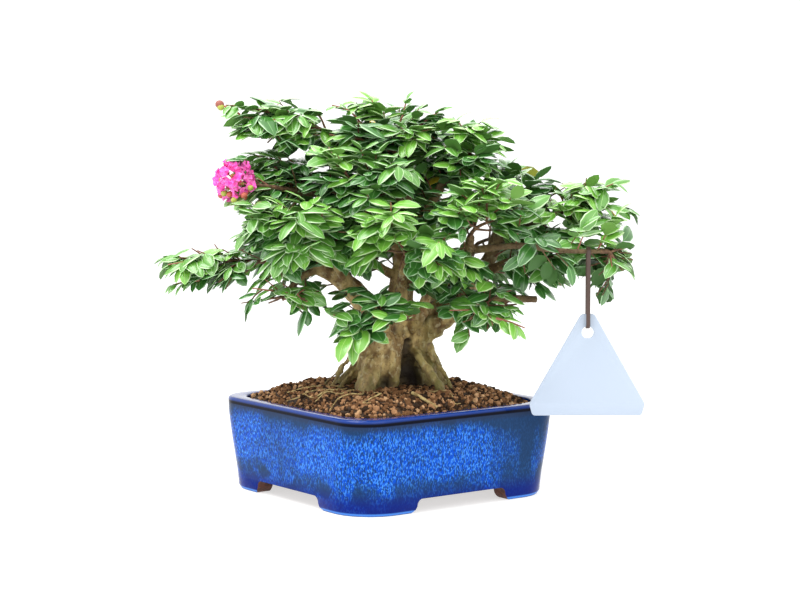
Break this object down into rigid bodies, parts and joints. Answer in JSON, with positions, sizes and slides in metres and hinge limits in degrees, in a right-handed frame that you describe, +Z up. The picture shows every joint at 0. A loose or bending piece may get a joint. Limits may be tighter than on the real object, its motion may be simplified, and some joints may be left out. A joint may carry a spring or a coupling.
{
  "type": "bonsai crape myrtle in a square glazed pot",
  "caption": "Small crape myrtle bonsai with a thick flared trunk, spreading leafy crown and a pink flower cluster, in a square blue glazed pot with a hanging tag.",
  "frame": {"origin": "bottom centre of the whole plant's bounding box, at the level of the feet's undersides", "axes": "+Z up; the pot's sides run along X and Y; the front of the tree faces 54 degrees round from -Y towards +X"},
  "size_m": [0.2256, 0.242, 0.2378],
  "materials": {
    "glazed_clay": "glossy mottled blue glaze",
    "soil_granules": "matt fired clay granules",
    "bark": "smooth mottled bark",
    "foliage": "glossy leaves",
    "blossom": "crinkled petals",
    "frosted_plastic": "frosted, satin",
    "brown_strap": "satin"
  },
  "bodies": {
    "plant": {"blossom_left": "blossom", "bough_back": "bark", "bough_back_left": "bark", "bough_back_right": "bark", "bough_back_top": "bark", "bough_blossom": "bark", "bough_cut_stub": "bark", "bough_front": "bark", "bough_front_low": "bark", "bough_front_right": "bark", "bough_front_top": "bark", "bough_inner_left": "bark", "bough_inner_right": "bark", "bough_leader": "bark", "bough_left": "bark", "bough_left_front": "bark", "bough_left_hang": "bark", "bough_left_mid": "bark", "bough_left_top": "bark", "bough_right": "bark", "bough_right_far": "bark", "bough_right_low": "bark", "bough_right_mid": "bark", "bough_right_top": "bark", "bough_tag": "bark", "leaves_back": "foliage", "leaves_back_left": "foliage", "leaves_back_right": "foliage", "leaves_back_top": "foliage", "leaves_front": "foliage", "leaves_front_low": "foliage", "leaves_front_right": "foliage", "leaves_front_top": "foliage", "leaves_inner_left": "foliage", "leaves_inner_right": "foliage", "leaves_left_front": "foliage", "leaves_left_hang": "foliage", "leaves_left_low": "foliage", "leaves_left_mid": "foliage", "leaves_left_top": "foliage", "leaves_right_far": "foliage", "leaves_right_low": "foliage", "leaves_right_mid": "foliage", "leaves_right_top": "foliage", "leaves_right_upper": "foliage", "leaves_tag_twig": "foliage", "leaves_top": "foliage", "pot": "glazed_clay", "soil": "soil_granules", "trunk": "bark"},
    "tag": {"tag": "frosted_plastic", "tag_strap": "brown_strap"}
  },
  "joints": [
    {"name": "tag_swing", "type": "hinge", "parent": "plant", "child": "tag", "pos_m": [0.0892, 0.06866, 0.146], "axis": [-0.5878, -0.809, 0], "range_deg": [-6, 60]}
  ]
}
